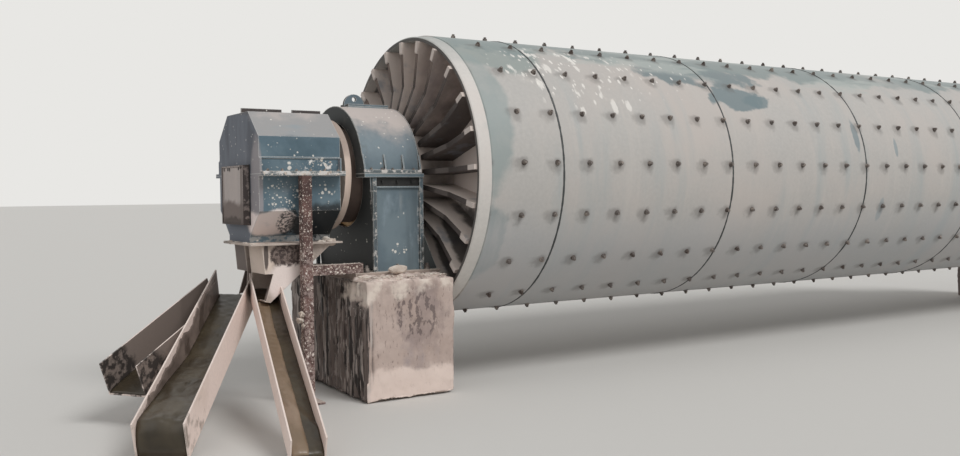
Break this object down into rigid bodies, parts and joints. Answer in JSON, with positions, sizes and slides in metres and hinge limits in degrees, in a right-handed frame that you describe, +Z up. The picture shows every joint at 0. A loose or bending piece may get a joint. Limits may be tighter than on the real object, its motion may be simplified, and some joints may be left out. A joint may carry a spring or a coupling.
{
  "type": "ball mill",
  "caption": "Wet grinding ball mill: long bolted drum with ribbed heads on trunnion bearings and piers, with discharge hood, spouts and launders.",
  "frame": {"origin": "on the ground under the drum axis, at the middle of the discharge pier's foot", "axes": "+X along the drum axis from the discharge end to the feed end, +Z up"},
  "size_m": [9.8927, 2.5872, 2.2448],
  "materials": {
    "concrete": "plastered concrete, slurry-streaked, matt",
    "sole_steel": "dusty steel and grout",
    "bush_metal": "worn bearing metal",
    "bearing_paint": "blue-grey paint under dust and slurry specks",
    "hood_paint": "dark blue-green paint under dust and slurry specks",
    "door_steel": "stained, dusty steel",
    "hopper_steel": "slurry-coated steel",
    "launder_steel": "slurry-coated steel",
    "rusty_steel": "rusted steel with slurry spots",
    "shell_paint": "pale sage grey paint under pinkish dust",
    "rim_paint": "pale grey paint, dusty",
    "head_casting": "dusty rough casting",
    "trunnion_steel": "dusty machined steel"
  },
  "bodies": {
    "plant": {"discharge_pier": "concrete", "discharge_sole_plate": "sole_steel", "discharge_bearing_base": "bearing_paint", "discharge_bush": "bush_metal", "discharge_bearing_cap": "bearing_paint", "discharge_lifting_lug": "bearing_paint", "hood_upper": "hood_paint", "hood_lower": "hood_paint", "hood_door": "door_steel", "hopper_flange": "hopper_steel", "front_spout": "hopper_steel", "rear_spout": "hopper_steel", "front_launder": "launder_steel", "rear_launder": "launder_steel", "far_launder": "launder_steel", "hood_post": "rusty_steel", "post_beam": "rusty_steel", "feed_pier": "concrete", "feed_sole_plate": "sole_steel", "feed_bearing_base": "bearing_paint", "feed_bush": "bush_metal", "feed_bearing_cap": "bearing_paint", "feed_lifting_lug": "bearing_paint"},
    "mill": {"shell_course_1": "shell_paint", "shell_course_2": "shell_paint", "shell_course_3": "shell_paint", "shell_course_4": "shell_paint", "shell_course_5": "shell_paint", "shell_course_6": "shell_paint", "discharge_rim": "rim_paint", "feed_rim": "rim_paint", "discharge_head": "head_casting", "feed_head": "head_casting", "discharge_trunnion": "trunnion_steel", "feed_trunnion": "trunnion_steel"}
  },
  "joints": [
    {"name": "mill_spin", "type": "hinge", "parent": "plant", "child": "mill", "pos_m": [0, 0, 1.33], "axis": [1, 0, 0], "continuous": true}
  ]
}
